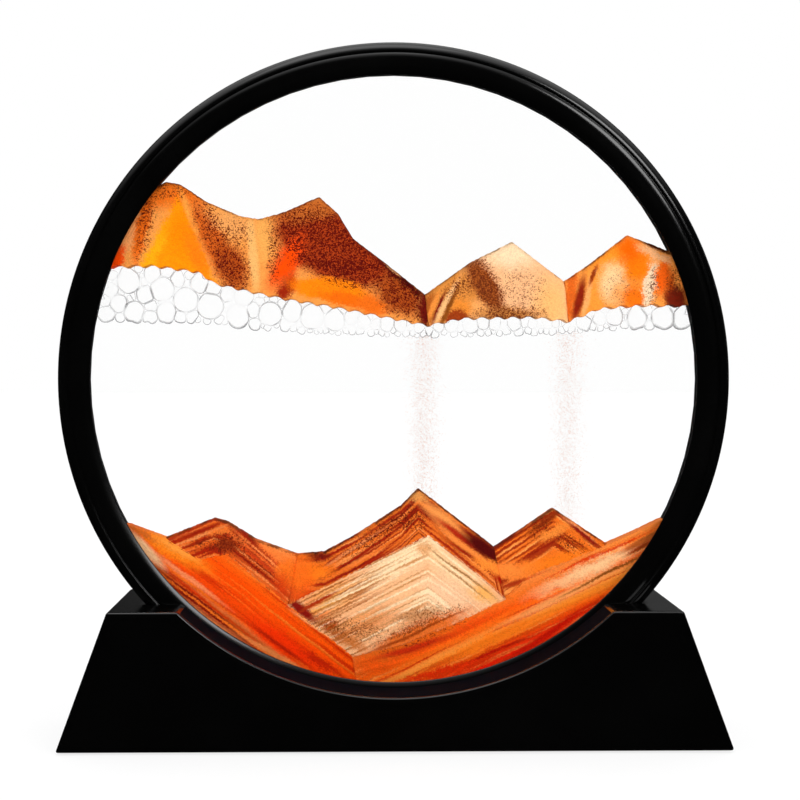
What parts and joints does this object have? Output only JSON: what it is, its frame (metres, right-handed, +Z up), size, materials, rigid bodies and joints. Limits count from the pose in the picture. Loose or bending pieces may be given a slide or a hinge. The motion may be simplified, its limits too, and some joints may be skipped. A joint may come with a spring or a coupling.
{
  "type": "moving sand art frame",
  "caption": "Round black frame with coloured sand, clear liquid and air bubbles sealed between glass panes. It turns in, and lifts out of, a slotted trapezoid stand.",
  "frame": {"origin": "on the table, under the middle of the stand", "axes": "+Z up, +X to the viewer's right, the picture's front faces -Y"},
  "size_m": [0.178, 0.045, 0.1848],
  "materials": {
    "stand_black": "gloss",
    "frame_black": "gloss",
    "screw_steel": "satin",
    "black_rubber": "matte",
    "clear_glass": "polished",
    "sealing_tape": "matte",
    "black_silicone": "satin",
    "clear_liquid": "polished",
    "air_bubbles": "polished",
    "orange_sand": "matte",
    "rust_sand": "matte",
    "cream_sand": "matte"
  },
  "bodies": {
    "stand": {"stand_shell": "stand_black", "bottom_cover": "stand_black", "cover_screw_1": "screw_steel", "cover_screw_2": "screw_steel", "cover_screw_3": "screw_steel", "cover_screw_4": "screw_steel", "rubber_foot_1": "black_rubber", "rubber_foot_2": "black_rubber", "rubber_foot_3": "black_rubber", "rubber_foot_4": "black_rubber"},
    "rim_tape": {"edge_seal_tape": "sealing_tape"},
    "sand_frame": {"front_frame_half": "frame_black", "rear_frame_half": "frame_black", "front_glass": "clear_glass", "rear_glass": "clear_glass", "front_gasket": "black_rubber", "rear_gasket": "black_rubber", "spacer_ring": "black_silicone", "fill_plug": "black_rubber", "upper_liquid": "clear_liquid", "lower_liquid": "clear_liquid", "bubble_raft": "air_bubbles", "upper_sand_left_heap": "rust_sand", "upper_sand_middle_heap": "cream_sand", "upper_sand_right_heap": "orange_sand", "lower_sand_left_hill": "rust_sand", "lower_sand_middle_hill": "rust_sand", "lower_sand_right_hill": "orange_sand", "lower_sand_pale_peak": "cream_sand", "lower_sand_left_dune": "orange_sand", "lower_sand_right_dune": "orange_sand"}
  },
  "joints": [
    {"name": "frame_lift", "type": "slide", "parent": "stand", "child": "rim_tape", "axis": [0, 0, 1], "range_m": [0, 0.04]},
    {"name": "frame_turn", "type": "hinge", "parent": "rim_tape", "child": "sand_frame", "pos_m": [0, 0, 0.0958], "axis": [0, 1, 0], "continuous": true}
  ]
}
